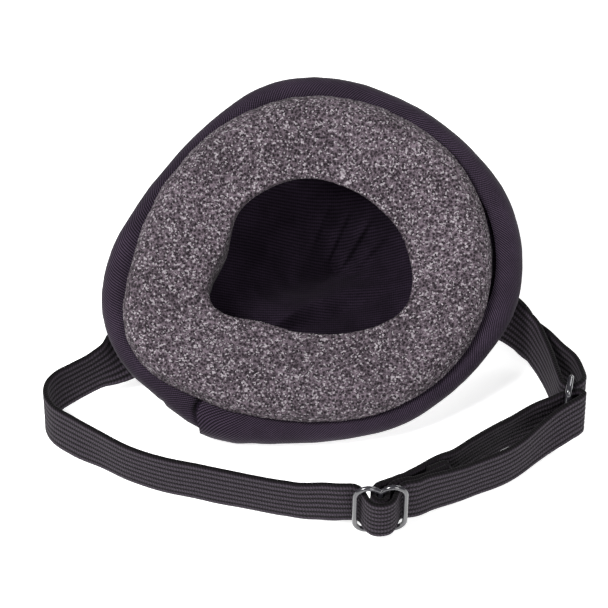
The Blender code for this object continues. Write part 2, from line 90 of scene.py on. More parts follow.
SLIDER_CENTRE = np.array([11.8, -38.1, 6.5]) * MM
SLIDER_HEADING = math.radians(3.5)
SLIDER_LEAN = math.radians(6.0)
SLIDER_LENGTH = 10.2 * MM
SLIDER_HEIGHT = 12.8 * MM
SLIDER_NOTCH = 1.1 * MM
SQUEEZE = 1.8 * MM
SQUEEZE_FROM = 1.4 * MM
SQUEEZE_TO = 5.0 * MM

RING_CENTRE = np.array([47.6, -11.6, 6.6]) * MM
RING_HEADING = math.radians(11.0)
RING_LENGTH = 6.0 * MM
RING_HEIGHT = 13.0 * MM
RING_CORNER = 1.2 * MM

# Routes of the elastic: points on the ribbon's middle in millimetres, and its roll from upright in degrees.
LEFT_END = (
    (-29.0, 5.6, 11.2, 60), (-33.0, 3.2, 9.6, 58), (-36.2, 1.3, 8.1, 44), (-38.6, -0.5, 7.5, 15),
    (-40.5, -1.6, 7.2, 2), (-42.0, -2.3, 6.8, -3),
)
SIDE_RUN = (
    (-45.2, -3.8, 5.9, -3), (-48.4, -5.9, 5.3, 0), (-50.2, -8.4, 5.0, 0), (-50.4, -11.4, 5.0, 0),
    (-48.9, -14.6, 5.0, 0), (-45.0, -17.9, 5.0, 0), (-40.0, -21.2, 5.03, 4), (-34.0, -25.2, 5.03, 7),
    (-27.5, -28.1, 5.03, 7), (-21.0, -29.9, 5.03, 7), (-13.0, -32.2, 5.03, 7),
)
FEED_LEFT = (
    (-7.0, -33.8, 5.03, 7), (-5.4, -34.2, 5.1, 7), (-2.5, -34.9, 5.2, 7), (0.2, -35.5, 5.7, 6),
)
FEED_RIGHT = (
    (21.6, -33.4, 6.0, 6), (24.6, -31.7, 5.5, 7), (27.0, -30.3, 5.08, 7), (30.0, -28.7, 5.03, 7),
    (33.5, -26.9, 5.03, 6), (36.0, -25.3, 5.03, 5),
)
FRONT_RUN = (
    (38.2, -23.4, 5.05, 4), (41.5, -20.1, 5.3, 2), (44.9, -17.2, 5.9, 0), (47.6, -15.4, 6.5, 0),
    (49.6, -13.9, 6.6, 0), (50.3, -12.8, 6.6, 0), (49.6, -12.0, 6.6, 0), (48.3, -12.1, 6.6, 0),
    (46.4, -12.7, 6.6, 0),
)
RETURN_RUN = (
    (44.2, -13.7, 6.2, -1), (40.0, -14.9, 5.45, -8), (36.2, -16.8, 5.05, -13), (32.4, -19.6, 5.05, -12),
    (28.5, -22.9, 5.1, -10), (24.7, -26.4, 5.1, -8),
)
TAB_INNER_END = (
    (24.5, 10.7, 13.0, -58), (28.0, 9.8, 13.1, -56), (31.5, 9.0, 12.8, -50), (34.4, 8.6, 12.1, -34),
    (37.1, 7.7, 10.9, -14),
)
TAB_LOOP = (
    (41.0, 4.8, 9.1, -7), (42.8, 2.0, 8.0, -4), (44.2, -1.4, 7.3, -2), (45.2, -5.0, 6.9, 0),
    (45.8, -8.0, 6.8, 0), (46.3, -9.7, 6.6, 0), (47.2, -10.7, 6.6, 0), (48.4, -10.8, 6.6, 0),
    (49.6, -10.1, 6.6, 0), (50.5, -8.4, 6.3, 0), (50.4, -5.8, 6.0, 0), (49.3, -2.1, 6.0, 0),
    (46.6, 1.1, 6.2, 2), (44.0, 4.1, 6.6, 5), (41.0, 7.1, 7.0, 7),
)
TAB_OUTER_END = (
    (38.2, 9.6, 8.9, 10), (34.4, 10.6, 10.5, 27), (31.4, 10.5, 11.3, 44), (28.1, 10.9, 11.6, 53),
    (24.6, 11.6, 11.5, 57),
)

# The elastic in the slider, on its own axes: along the strap, forward of the centre bar, and up the bar.
SLIDER_PASS = (
    (-7.2, -2.2, -0.3), (-5.6, -1.95, -0.1), (-4.5, -1.75, 0.0), (-3.5, -1.1, 0.0), (-2.9, 0.1, 0.0),
    (-2.4, 1.3, 0.0), (-1.5, 2.3, 0.0), (0.0, 2.65, 0.0), (1.5, 2.3, 0.0), (2.4, 1.3, 0.0),
    (2.9, 0.1, 0.0), (3.5, -1.1, 0.0), (4.5, -1.75, 0.0), (5.6, -2.0, -0.1), (6.6, -2.3, -0.3),
)
END_LOOP = (
    (10.0, -8.7, -2.2), (8.0, -7.3, -2.0), (6.0, -6.0, -1.8), (4.2, -4.8, -1.5), (2.4, -3.9, -1.0),
    (0.5, -3.0, -0.5), (-0.8, -2.1, -0.1), (-1.35, -1.0, 0.0), (-1.3, 0.3, 0.0), (-0.7, 1.15, 0.0),
    (0.0, 1.35, 0.0), (0.7, 1.15, 0.0), (1.3, 0.3, 0.0), (1.35, -0.9, 0.0), (2.2, -2.2, -0.2),
    (4.0, -3.15, -0.8), (6.0, -3.75, -1.3), (8.0, -4.6, -1.6), (10.2, -5.6, -1.8), (12.0, -6.5, -1.9),
    (12.9, -7.2, -1.9), (12.6, -7.85, -1.9), (11.6, -7.65, -1.9), (10.2, -7.0, -1.9),
    (8.8, -6.35, -1.8),
)

# ---------------------------------------------------------------------------
# Arithmetic.


def unit(vectors):
    """Vectors at length 1."""
    return vectors / np.maximum(np.linalg.norm(vectors, axis=-1, keepdims=True), 1e-12)


def ramp(x, low, high):
    """0 below low, 1 above high, and smooth between them."""
    t = np.clip((x - low) / (high - low), 0.0, 1.0)
    return t * t * (3 - 2 * t)


def hump(x, width):
    """1 at x = 0, and falling away over this width."""
    return np.exp(-(x / width) ** 2)


def turned(angle, middle):
    """Angle from middle, between half a turn back and half a turn on."""
    return (angle - middle + math.pi) % TAU - math.pi


def hashed(cells, seed):
    """Steady numbers from 0 to 1, one for each whole-numbered cell."""
    mixed = cells.astype(np.int64) @ np.array([73856093, 19349663, 83492791]) + seed * 668265263
    mixed = (mixed ^ (mixed >> 13)) * 1274126177 & 0x7FFFFFFF
    mixed = (mixed ^ (mixed >> 11)) * 461845907 & 0x7FFFFFFF
    return (mixed >> 7) % 65536 / 65536


def lumps(points, size, seed):
    """Smooth noise from -1 to 1, with lumps of about this size."""
    place = points / size
    corner = np.floor(place)
    t = place - corner
    t = t * t * (3 - 2 * t)
    total = np.zeros(points.shape[:-1])
    for step in itertools.product((0, 1), repeat=3):
        weight = np.prod(np.where(step, t, 1 - t), axis=-1)
        total += weight * hashed(corner + np.array(step), seed)
    return 2 * total - 1


def cell_distance(points, size, seed):
    """Distance to the nearest of some scattered cell centres, in cell sizes."""
    place = points / size
    corner = np.floor(place)
    nearest = np.full(points.shape[:-1], 9.0)
    for step in itertools.product((-1, 0, 1), repeat=3):
        cell = corner + np.array(step)
        centre = cell + np.stack([hashed(cell, seed + k) for k in range(3)], -1)
        nearest = np.minimum(nearest, np.linalg.norm(place - centre, axis=-1))
    return nearest


# ---------------------------------------------------------------------------
# Meshes.


def object_from(name, mesh, finish):
    mesh.materials.append(finish)
    made = bpy.data.objects.new(name, mesh)
    bpy.context.scene.collection.objects.link(made)
    return made


def face_outwards(mesh):
    """Turns a closed mesh's faces the right way round."""
    bm = bmesh.new()
    bm.from_mesh(mesh)
    bmesh.ops.remove_doubles(bm, verts=bm.verts, dist=1e-7)
    bmesh.ops.recalc_face_normals(bm, faces=bm.faces)
    bm.to_mesh(mesh)
    bm.free()


def surface(name, points, finish, closed=(False, True), uv=None, capped=False, sharp=50):
    """Mesh over a grid of points that may close on itself either way; uv has one more row or column there."""
    rows, columns = points.shape[:2]
    row, column = np.meshgrid(
        np.arange(rows if closed[0] else rows - 1),
        np.arange(columns if closed[1] else columns - 1), indexing="ij")

    def corner(a, b):
        return (a % rows) * columns + b % columns

    steps = ((0, 0), (0, 1), (1, 1), (1, 0))
    faces = np.stack([corner(row + a, column + b) for a, b in steps], -1).reshape(-1, 4).tolist()
    if capped:
        faces += [list(range(columns)), [(rows - 1) * columns + k for k in reversed(range(columns))]]
    mesh = bpy.data.meshes.new(name)
    mesh.from_pydata(points.reshape(-1, 3).tolist(), [], faces)
    if uv is not None:
        corners = np.stack([uv[row + a, column + b] for a, b in steps], -2).reshape(-1, 2)
        if capped:
            corners = np.concatenate([corners, np.zeros((2 * columns, 2))])
        mesh.uv_layers.new(name="cloth").data.foreach_set("uv", corners.astype(np.float32).ravel())
    face_outwards(mesh)
    mesh.shade_smooth()
    mesh.set_sharp_from_angle(angle=math.radians(sharp))
    return object_from(name, mesh, finish)


def joined(name, parts, finish):
    """One object from several meshes' objects."""
    bm = bmesh.new()
    for part in parts:
        bm.from_mesh(part.data)
        old = part.data
        bpy.data.objects.remove(part)
        bpy.data.meshes.remove(old)
    mesh = bpy.data.meshes.new(name)
    bm.to_mesh(mesh)
    bm.free()
    mesh.shade_smooth()
    mesh.set_sharp_from_angle(angle=math.radians(50))
    return object_from(name, mesh, finish)


def tube(name, path, radius, finish, closed=False, sides=12, side=(0.0, 0.0, 1.0)):
    """Round tube along an array of points; side is a direction that the path never runs along."""
    if closed:
        along = unit(np.roll(path, -1, 0) - np.roll(path, 1, 0))
    else:
        along = unit(np.gradient(path, axis=0))
    reference = np.broadcast_to(np.array(side), path.shape)
    across = unit(np.cross(reference, along))
    up = np.cross(along, across)
    radii = np.broadcast_to(radius, (len(path),))[:, None, None]
    turn = np.arange(sides) / sides * TAU
    ring = across[:, None] * np.cos(turn)[:, None] + up[:, None] * np.sin(turn)[:, None]
    points = path[:, None] + ring * radii
    return surface(name, points, finish, closed=(closed, True), capped=not closed)


# ---------------------------------------------------------------------------
# Materials.


class Nodes:
    """Short way to lay out one material's node tree."""

    def __init__(self, name):
        self.material = bpy.data.materials.new(name)
        self.material.use_nodes = True
        self.tree = self.material.node_tree
        self.shader = self.tree.nodes["Principled BSDF"]

    def add(self, kind, inputs=None, **settings):
        node = self.tree.nodes.new("ShaderNode" + kind)
        for key, value in settings.items():
            setattr(node, key, value)
        for key, value in (inputs or {}).items():
            if isinstance(value, bpy.types.NodeSocket):
                self.tree.links.new(value, node.inputs[key])
            else:
                node.inputs[key].default_value = value
        return node

    def maths(self, operation, a, b=0.0, c=0.0):
        node = self.add("Math", operation=operation)
        for key, value in enumerate((a, b, c)):
            if isinstance(value, bpy.types.NodeSocket):
                self.tree.links.new(value, node.inputs[key])
            else:
                node.inputs[key].default_value = value
        return node.outputs[0]

    def ramp(self, value, stops):
        node = self.add("ValToRGB", {"Fac": value})
        elements = node.color_ramp.elements
        while len(elements) < len(stops):
            elements.new(0.5)
        for element, (place, colour) in zip(elements, stops):
            element.position = place
            element.color = (*colour, 1.0)
        return node.outputs["Color"]

    def place(self, kind="Object"):
        return self.add("TexCoord").outputs[kind]

    def cloth(self):
        """Distances along and across the cloth, in metres."""
        node = self.add("SeparateXYZ", {0: self.add("UVMap", uv_map="cloth").outputs[0]})
        return node.outputs[0], node.outputs[1]

    def noise(self, vector, size, detail=2.0, roughness=0.5):
        settings = {"Vector": vector, "Scale": 1 / size, "Detail": detail, "Roughness": roughness}
        return self.add("TexNoise", settings).outputs["Fac"]

    def mix(self, share, a, b):
        return self.add("Mix", {0: share, 6: a, 7: b}, data_type="RGBA").outputs[2]

    def multiply(self, colour, value):
        node = self.add("Mix", {0: 1.0, 6: colour, 7: value}, data_type="RGBA", blend_type="MULTIPLY")
        return node.outputs[2]

    def bump(self, height, distance, strength=1.0, before=None):
        inputs = {"Height": height, "Distance": distance, "Strength": strength}
        if before is not None:
            inputs["Normal"] = before
        return self.add("Bump", inputs).outputs["Normal"]

    def finish(self, colour, roughness, normal=None, **constants):
        for key, value in (("Base Color", colour), ("Roughness", roughness), ("Normal", normal)):
            if isinstance(value, bpy.types.NodeSocket):
                self.tree.links.new(value, self.shader.inputs[key])
            elif value is not None:
                self.shader.inputs[key].default_value = value
        for key, value in constants.items():
            self.shader.inputs[key.replace("_", " ")].default_value = value
        return self.material


def foam_material():
    """Charcoal open-cell foam: charcoal colour with painted shade darkening the pores, paler cell walls, and
    painted highlights on a few walls.
    """
    n = Nodes("charcoal_foam")
    where = n.place()
    cells = n.add("TexVoronoi", {"Vector": where, "Scale": 1 / (0.58 * MM), "Randomness": 1.0})
    fine = n.add("TexVoronoi", {"Vector": where, "Scale": 1 / (0.30 * MM), "Randomness": 1.0})
    # Painted shade: the charcoal colour darkens towards the middle of each cell, as shade in the pores.
    charcoal_with_pore_shade = n.ramp(cells.outputs["Distance"], (
        (0.08, (0.004, 0.003, 0.004)), (0.40, (0.034, 0.026, 0.032)), (0.72, (0.102, 0.080, 0.096))))
    # Painted shade: the finer pores are darkened the same way, with paler walls between them.
    fine_pore_shade = n.ramp(fine.outputs["Distance"], ((0.05, (0.20, 0.20, 0.20)), (0.62, (1.55, 1.55, 1.55))))
    colour = n.multiply(charcoal_with_pore_shade, fine_pore_shade)
    patches = n.ramp(n.noise(where, 11 * MM), ((0.35, (0.82, 0.82, 0.82)), (0.65, (1.12, 1.12, 1.12))))
    colour = n.multiply(colour, patches)
    # Painted highlight: pale specks on a few cell walls stand in for glints of light.
    painted_glint = n.add("SeparateColor", {0: fine.outputs["Color"]}).outputs[0]
    painted_glint = n.maths("MULTIPLY", n.maths("GREATER_THAN", painted_glint, 0.86), n.noise(where, 1.1 * MM))
    colour = n.mix(painted_glint, colour, (0.50, 0.46, 0.49, 1.0))
    height = n.maths("ADD", cells.outputs["Distance"], n.maths("MULTIPLY", fine.outputs["Distance"], 0.6))
    normal = n.bump(height, 0.30 * MM, 0.9)
    return n.finish(colour, 0.92, normal, Specular_IOR_Level=0.15, Sheen_Weight=0.05, Sheen_Roughness=0.5)


def tape_material():
    """Black twill tape: fine slanting ribs with a little lint."""
    n = Nodes("binding_tape")
    along, across = n.cloth()
    pitch = 0.46 * MM
    slant = n.maths("ADD", n.maths("MULTIPLY", along, 0.80), n.maths("MULTIPLY", across, 0.60))
    wale = n.maths("SINE", n.maths("MULTIPLY", slant, TAU / pitch))
    cross = n.maths("SUBTRACT", n.maths("MULTIPLY", along, 0.60), n.maths("MULTIPLY", across, 0.80))
    thread = n.maths("SINE", n.maths("MULTIPLY", cross, TAU / (0.38 * MM)))
    weave = n.maths("ADD", n.maths("MULTIPLY", wale, 0.5), n.maths("MULTIPLY", thread, 0.22))
    lint = n.noise(n.place(), 0.22 * MM, 3.0, 0.7)
    shade = n.maths("ADD", n.maths("MULTIPLY_ADD", weave, 0.42, 0.40), n.maths("MULTIPLY", lint, 0.35))
    colour = n.ramp(shade, (
        (0.25, (0.001, 0.001, 0.0015)), (0.56, (0.011, 0.007, 0.013)), (0.88, (0.066, 0.045, 0.076))))
    worn = n.ramp(n.noise(n.place(), 7 * MM), ((0.35, (0.85, 0.85, 0.85)), (0.65, (1.15, 1.15, 1.15))))
    normal = n.bump(weave, 0.05 * MM, 0.7)
    normal = n.bump(lint, 0.05 * MM, 0.6, normal)
    return n.finish(n.multiply(colour, worn), 0.86, normal,
                    Specular_IOR_Level=0.12, Sheen_Weight=0.08, Sheen_Roughness=0.45)


def knit_material(name, dark, light, pitch, sheen):
    """Fine black jersey: rows of small stitches on the cloth's own grid."""
    n = Nodes(name)
    along, across = n.cloth()
    rows = n.maths("SINE", n.maths("MULTIPLY", across, TAU / pitch))
    stitch = n.maths("ABSOLUTE", n.maths("SINE", n.maths("MULTIPLY", along, math.pi / (0.75 * pitch))))
    weave = n.maths("ADD", n.maths("MULTIPLY", rows, 0.4), n.maths("MULTIPLY", stitch, 0.4))
    lint = n.noise(n.place(), 0.3 * MM, 3.0, 0.65)
    shade = n.maths("ADD", n.maths("MULTIPLY_ADD", weave, 0.45, 0.15), n.maths("MULTIPLY", lint, 0.55))
    colour = n.ramp(shade, ((0.2, dark), (0.85, light)))
    cloud = n.ramp(n.noise(n.place(), 5 * MM), ((0.35, (0.8, 0.8, 0.8)), (0.65, (1.2, 1.2, 1.2))))
    normal = n.bump(weave, 0.08 * MM, 0.8)
    normal = n.bump(lint, 0.06 * MM, 0.5, normal)
    return n.finish(n.multiply(colour, cloud), 0.9, normal,
                    Specular_IOR_Level=0.06, Sheen_Weight=sheen, Sheen_Roughness=0.5)


def elastic_material():
    """Braided elastic: chevrons along every rib, with painted shade darkening the valleys between the ribs.
    """
    n = Nodes("braided_elastic")
    along, across = n.cloth()
    rib = n.maths("FRACT", n.maths("MULTIPLY", across, RIB_COUNT / STRAP_WIDTH))
    # Painted shade: the colour is darkest in the valleys between the ribs and palest on their tops.
    rib_valley_shade = n.maths("SINE", n.maths("MULTIPLY", rib, math.pi))
    slant = n.maths("MULTIPLY", n.maths("ABSOLUTE", n.maths("SUBTRACT", rib, 0.5)), 0.5 * MM)
    braid = n.maths("SINE", n.maths("MULTIPLY", n.maths("ADD", along, slant), TAU / (0.52 * MM)))
    lint = n.noise(n.place("UV"), 0.18 * MM, 3.0, 0.7)
    shade = n.maths("ADD", n.maths("MULTIPLY_ADD", rib_valley_shade, 0.46, 0.0), n.maths("MULTIPLY", braid, 0.09))
    shade = n.maths("ADD", shade, n.maths("MULTIPLY", lint, 0.55))
    colour = n.ramp(shade, (
        (0.25, (0.001, 0.0008, 0.001)), (0.55, (0.010, 0.0072, 0.0105)), (0.85, (0.054, 0.043, 0.058))))
    normal = n.bump(braid, 0.05 * MM, 0.8)
    normal = n.bump(lint, 0.05 * MM, 0.6, normal)
    return n.finish(colour, 0.82, normal, Specular_IOR_Level=0.12, Sheen_Weight=0.04, Sheen_Roughness=0.45)


def thread_material():
    """Twisted black sewing thread."""
    n = Nodes("black_thread")
    twist = n.add("TexWave", {"Vector": n.place(), "Scale": 1 / (1.1 * MM), "Distortion": 1.5})
    colour = n.ramp(twist.outputs["Fac"], ((0.2, (0.014, 0.012, 0.015)), (0.8, (0.055, 0.050, 0.058))))
    normal = n.bump(twist.outputs["Fac"], 0.04 * MM, 0.8)
    return n.finish(colour, 0.6, normal, Sheen_Weight=0.3, Sheen_Roughness=0.4)


def wire_material():
    """Steel wire under glossy black coating, with faint orange peel and handling marks."""
    n = Nodes("coated_wire")
    marks = n.noise(n.place(), 1.6 * MM, 4.0, 0.6)
    colour = n.ramp(marks, ((0.35, (0.016, 0.015, 0.019)), (0.7, (0.034, 0.033, 0.040))))
    rough = n.maths("MULTIPLY_ADD", marks, 0.16, 0.10)
    normal = n.bump(n.noise(n.place(), 0.5 * MM), 0.012 * MM, 0.5)
    return n.finish(colour, rough, normal, Specular_IOR_Level=0.8, Coat_Weight=0.6, Coat_Roughness=0.08)


def core_material():
    """Moulded stiffener between cover and lining."""
    n = Nodes("core_sheet")
    fleck = n.noise(n.place(), 0.8 * MM, 3.0)
    colour = n.ramp(fleck, ((0.35, (0.05, 0.05, 0.052)), (0.65, (0.085, 0.085, 0.088))))
    return n.finish(colour, 0.75, n.bump(fleck, 0.05 * MM))


def adhesive_material():
    """Thin tacky film."""
    n = Nodes("adhesive_film")
    ripple = n.noise(n.place(), 1.5 * MM, 2.0)
    colour = n.ramp(ripple, ((0.35, (0.030, 0.028, 0.030)), (0.65, (0.055, 0.052, 0.055))))
    return n.finish(colour, 0.45, n.bump(ripple, 0.05 * MM))


# ---------------------------------------------------------------------------
# The shell's surfaces.


def in_rim_frame(u, v, n):
    """World points from places along the rim's own three axes."""
    u, v, n = np.broadcast_arrays(u, v, n)
    return RIM_CENTRE + u[..., None] * AXIS_U + v[..., None] * AXIS_V + n[..., None] * AXIS_N


def closed_radius(radii, angle):
    """Smooth closed curve through equally spaced radii, in metres."""
    radii = np.asarray(radii) * MM
    place = (angle / TAU * len(radii)) % len(radii)
    first = np.floor(place).astype(int)
    t = place - first
    a, b, c, d = (radii[(first + k) % len(radii)] for k in (-1, 0, 1, 2))
    return b + 0.5 * t * (c - a + t * (2 * a - 5 * b + 4 * c - d + t * (3 * (b - c) + d - a)))


def wall_middle(angle, rho):
    """Middle surface of the wall: rho is 1 at the shell's edge and 0 at the dome's tip."""
    rho = np.clip(rho, 0.0, None)
    radius = (closed_radius(RIM_RADII, angle) - EDGE_INSET) * rho
    depth = DOME_DEPTH * (1 - np.minimum(rho, 1.0) ** DOME_ROUNDING) ** DOME_FLARE
    u = radius * np.cos(angle) + APEX_SHIFT[0] * (1 - rho)
    v = radius * np.sin(angle) + APEX_SHIFT[1] * (1 - rho)
    return in_rim_frame(u, v, -depth)


def wall_point(angle, rho, offset):
    """Point of the wall moved off its middle surface towards the wearer."""
    angle, rho, offset = np.broadcast_arrays(angle, rho, offset)
    step = 0.01
    low = np.maximum(rho - step, 0.02)
    high = np.minimum(low + 2 * step, 1.0)
    inward = wall_middle(angle, low) - wall_middle(angle, high)
    wide = np.maximum(rho, 0.05)
    around = wall_middle(angle + step, wide) - wall_middle(angle - step, wide)
    normal = unit(np.cross(around, inward))
    normal = normal * np.sign(normal @ AXIS_N)[..., None]
    normal = unit(normal + AXIS_N * (1 - ramp(rho, 0.0, 0.12))[..., None])
    return wall_middle(angle, rho) + normal * offset[..., None]


def rho_of_radius(angle, radius):
    """rho of the wall point under this distance from the rim's centre."""
    edge = closed_radius(RIM_RADII, angle)
    return 1 - (edge - radius - EDGE_INSET) / (edge - EDGE_INSET)


def grid_normals(points, wrap):
    """Normals of a grid of points; wrap says which of its two directions close on themselves."""
    slopes = []
    for axis in (0, 1):
        if wrap[axis]:
            slopes.append(np.roll(points, -1, axis) - np.roll(points, 1, axis))
        else:
            slopes.append(np.gradient(points, axis=axis))
    return unit(np.cross(slopes[0], slopes[1]))


# ---------------------------------------------------------------------------
# Foam ring.

FOAM_AROUND = 640


def foam_ring(finish):
    """Thick open-cell ring: rounded shoulder, slightly dished face, crisp undercut lip, torn cells."""
    angle = np.arange(FOAM_AROUND) / FOAM_AROUND * TAU
    outer = closed_radius(FOAM_RADII, angle)
    inner = closed_radius(OPENING_RADII, angle)
    middle = 0.5 * (outer + inner)

    def at(radius, height):
        return in_rim_frame(radius * np.cos(angle), radius * np.sin(angle), height)

    def base(radius):
        return wall_point(angle, rho_of_radius(angle, radius), FOAM_BASE)

    top, lip, shoulder = FOAM_SHOULDER_HEIGHT, FOAM_LIP_HEIGHT, FOAM_SHOULDER_WIDTH
    under_in = inner + FOAM_UNDERCUT
    under_out = outer - 1.0 * MM
    stations = [
        (base(outer), 13), (at(outer, 0.50 * top), 9), (at(outer - 0.3 * shoulder, 0.80 * top), 10),
        (at(outer - shoulder, top), 28), (at(middle, 0.5 * (top + lip) + 0.4 * MM), 25),
        (at(inner + 0.6 * MM, lip), 6), (at(inner, lip - 0.6 * MM), 14),
    ]
    stations += [(base(under_in + (under_out - under_in) * k / 4), 3) for k in range(5)]
    loop = []
    for (start, count), (stop, _count) in zip(stations, stations[1:] + stations[:1]):
        loop += [start + (stop - start) * k / count for k in range(count)]
    points = np.stack(loop, axis=1)
    for _turn in range(7):
        points = 0.5 * points + 0.25 * (np.roll(points, 1, 1) + np.roll(points, -1, 1))
    normal = grid_normals(points, (True, True))
    outwards = unit(points - in_rim_frame(middle * np.cos(angle), middle * np.sin(angle), 3.5 * MM)[:, None])
    normal = normal * np.sign(np.sum(normal * outwards, axis=(0, 1, 2)))
    pores = 0.5 - cell_distance(points, 0.75 * MM, 11)
    torn = hashed(np.round(points / (0.05 * MM)), 5) - 0.5
    height = 0.16 * MM * -np.maximum(pores, -0.2) + 0.10 * MM * torn
    height += 0.13 * MM * lumps(points, 2.2 * MM, 3) + 0.22 * MM * lumps(points, 9 * MM, 4)
    free = ramp((points - RIM_CENTRE) @ AXIS_N, 2.6 * MM, 3.4 * MM)
    points = points + normal * (height * free)[..., None]
    return surface("foam_pad", points, finish, closed=(True, True), sharp=180)


# ---------------------------------------------------------------------------
# Cloth shell: cover, lining and binding.

SHELL_AROUND = 320
SHELL_ROWS = 90


def dome(name, layer, finish, shape):
    """Closed sheet over the wall between two offsets; shape moves the points of its seen skin."""
    angle = (np.arange(SHELL_AROUND) / SHELL_AROUND * TAU)[:, None]
    rho = np.linspace(1.0, 0.0, SHELL_ROWS) ** 1.15
    seen = wall_point(angle, rho, layer[0])
    seen = shape(angle, rho, seen)
    hidden = wall_point(angle, rho[::-1], layer[1])
    points = np.concatenate([seen, hidden], axis=1)
    lasting = np.concatenate([points, points[:1]], axis=0)
    lasting = np.concatenate([lasting, lasting[:, :1]], axis=1) - RIM_CENTRE
    uv = np.stack([lasting @ AXIS_U, lasting @ AXIS_V], -1)
    return surface(name, points, finish, closed=(True, True), uv=uv, sharp=180)


def lining_shape(angle, rho, points):
    """Loose lining: a fold across the lower half, short wrinkles at the upper right, faint waves."""
    local = points - RIM_CENTRE
    u = local @ AXIS_U
    v = local @ AXIS_V
    normal = grid_normals(points, (True, False))
    normal = normal * np.sign(normal[0, 10] @ AXIS_N)
    inside = 1 - ramp(rho, 0.52, 0.66)

    def folded(start, stop, width, height, drop):
        """Ridge from start to stop; beyond its right side the cloth falls away over the drop's width."""
        a = np.array(start) * MM
        b = np.array(stop) * MM
        run = b - a
        length = np.linalg.norm(run)
        run = run / length
        s = (u - a[0]) * run[0] + (v - a[1]) * run[1]
        d = (u - a[0]) * run[1] - (v - a[1]) * run[0]
        ends = ramp(s, -0.15 * length, 0.25 * length) * (1 - ramp(s, 0.75 * length, 1.15 * length))
        rise = np.where(d < 0, hump(d, width * MM), 1 - ramp(d, 0.0, drop * MM))
        return height * MM * ends * rise

    height = folded((-7.0, -13.0), (15.0, -3.5), 7.0, 3.2, 1.6)
    for start, stop, tall in (
        ((4.0, 4.0), (9.0, 12.0), 0.55), ((7.5, 3.0), (13.0, 10.0), 0.7), ((9.0, 0.5), (15.5, 6.5), 0.6),
        ((1.0, 6.0), (5.0, 13.5), 0.4), ((10.5, -2.0), (17.0, 2.5), 0.45),
    ):
        height = height + folded(start, stop, 1.0, tall, 1.0)
    height = height + 0.25 * MM * lumps(points, 5 * MM, 21) + 0.10 * MM * lumps(points, 1.8 * MM, 22)
    return points + normal * (height * inside)[..., None]


def cover_shape(angle, rho, points):
    """Cover pulled over the dome: a sewn centre seam and slight puckers near the rim."""
    local = points - RIM_CENTRE
    u = local @ AXIS_U
    normal = grid_normals(points, (True, False))
    normal = normal * -np.sign(normal[0, 10] @ AXIS_N)
    inside = 1 - ramp(rho, 0.80, 0.90)
    seam = np.abs(u - APEX_SHIFT[0] * (1 - rho))
    height = 0.22 * MM * hump(seam - 0.9 * MM, 0.6 * MM) - 0.20 * MM * hump(seam, 0.35 * MM)
    height = height * ramp(rho, 0.02, 0.10)
    height = height + 0.12 * MM * lumps(points, 7 * MM, 31)
    return points + normal * (height * inside)[..., None]


LAP_ANGLE = math.radians(240.5)
LAP_LENGTH = math.radians(9.0)
LAP_SLANT = math.radians(4.0)
LAP_LIFT = 0.62 * MM
LAP_BULGE = 0.45 * MM
NOTCH_DEPTH = 1.7 * MM
TAPE_THICKNESS = 0.55 * MM
BINDING_FRONT = ((5.2, 1.95), (4.5, 2.05), (3.8, 2.15), (3.1, 2.30), (2.5, 2.42))
BINDING_BACK = ((2.5, -2.45), (3.1, -2.40), (3.8, -2.35), (4.5, -2.30), (5.0, -2.25))
BINDING_STATIONS = 760


